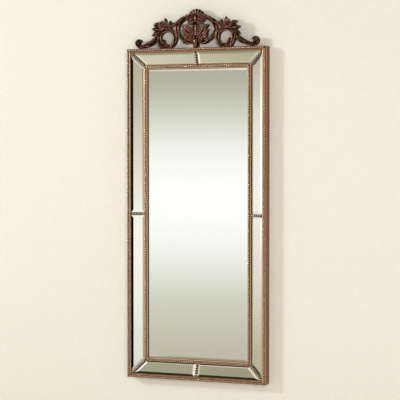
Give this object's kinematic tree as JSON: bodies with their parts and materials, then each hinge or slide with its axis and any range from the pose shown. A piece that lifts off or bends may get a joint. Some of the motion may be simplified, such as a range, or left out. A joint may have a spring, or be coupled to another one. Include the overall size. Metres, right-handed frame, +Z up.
{
  "type": "wall mirror",
  "caption": "Full-length wall mirror with a sloping bevelled mirror border, pearl-beaded mouldings and a pierced scrollwork crest, hung from two rings.",
  "frame": {"origin": "on the wall plane at the middle of the frame's lower edge, at the bottom rail's back face", "axes": "+X to the viewer's right, +Y into the wall, +Z up"},
  "size_m": [0.656, 0.0741, 1.6654],
  "materials": {
    "frame_wood": "brown painted wood with copper rubbed over its edges, satin",
    "gilt_beading": "pinkish copper-gold gilding on turned wood, dark in the hollows, satin",
    "dark_beading": "dark olive-brown with copper rubbed over the pearls, satin",
    "mirror_glass": "silvered plate glass with polished bevels",
    "bare_wood": "plain pine, sanded",
    "carrier_board": "fibreboard, raw and matte",
    "back_panel": "hardboard, dark brown, matte",
    "carved_wood": "dark umber carving with copper rubbed on its high places, satin",
    "zinc_steel": "zinc-plated steel"
  },
  "bodies": {
    "frame": {"outer_rail_bottom": "frame_wood", "outer_rail_top": "frame_wood", "outer_stile_left": "frame_wood", "outer_stile_right": "frame_wood", "outer_beading_bottom": "gilt_beading", "outer_beading_top": "gilt_beading", "outer_beading_left": "gilt_beading", "outer_beading_right": "gilt_beading", "ground_batten_bottom": "bare_wood", "ground_batten_top": "bare_wood", "ground_batten_left": "bare_wood", "ground_batten_right": "bare_wood", "border_mirror_bottom_left": "mirror_glass", "border_mirror_bottom_right": "mirror_glass", "border_mirror_top_left": "mirror_glass", "border_mirror_top_right": "mirror_glass", "border_mirror_left_lower": "mirror_glass", "border_mirror_left_upper": "mirror_glass", "border_mirror_right_lower": "mirror_glass", "border_mirror_right_upper": "mirror_glass", "centre_mirror": "mirror_glass", "inner_moulding_bottom": "gilt_beading", "inner_moulding_top": "gilt_beading", "inner_moulding_left": "gilt_beading", "inner_moulding_right": "gilt_beading", "mitre_bar_bottom_left": "dark_beading", "mitre_bar_bottom_right": "dark_beading", "mitre_bar_top_left": "dark_beading", "mitre_bar_top_right": "dark_beading", "middle_bar_bottom": "dark_beading", "middle_bar_top": "dark_beading", "middle_bar_left": "dark_beading", "middle_bar_right": "dark_beading", "carrier_board": "carrier_board", "back_panel": "back_panel", "corner_tongues": "bare_wood", "panel_screws": "zinc_steel", "strap_hanger_left": "zinc_steel", "strap_hanger_right": "zinc_steel", "strap_screws": "zinc_steel", "crest_dowels": "bare_wood", "crest_foot": "carved_wood", "crest_oval_left": "carved_wood", "crest_oval_right": "carved_wood", "crest_ring_left": "carved_wood", "crest_ring_right": "carved_wood", "crest_s_scroll_left": "carved_wood", "crest_s_scroll_right": "carved_wood", "crest_leaves_left": "carved_wood", "crest_leaves_right": "carved_wood", "crest_rose_left": "carved_wood", "crest_rose_right": "carved_wood", "crest_shell": "carved_wood", "crest_bloom": "carved_wood"},
    "ring_left": {"hanger_ring_left": "zinc_steel"},
    "ring_right": {"hanger_ring_right": "zinc_steel"}
  },
  "joints": [
    {"name": "ring_left_swing", "type": "hinge", "parent": "frame", "child": "ring_left", "pos_m": [-0.22, -0.0039, 1.25], "axis": [-1, 0, 0], "range_deg": [0, 170]},
    {"name": "ring_right_swing", "type": "hinge", "parent": "frame", "child": "ring_right", "pos_m": [0.22, -0.0039, 1.25], "axis": [-1, 0, 0], "range_deg": [0, 170]}
  ]
}
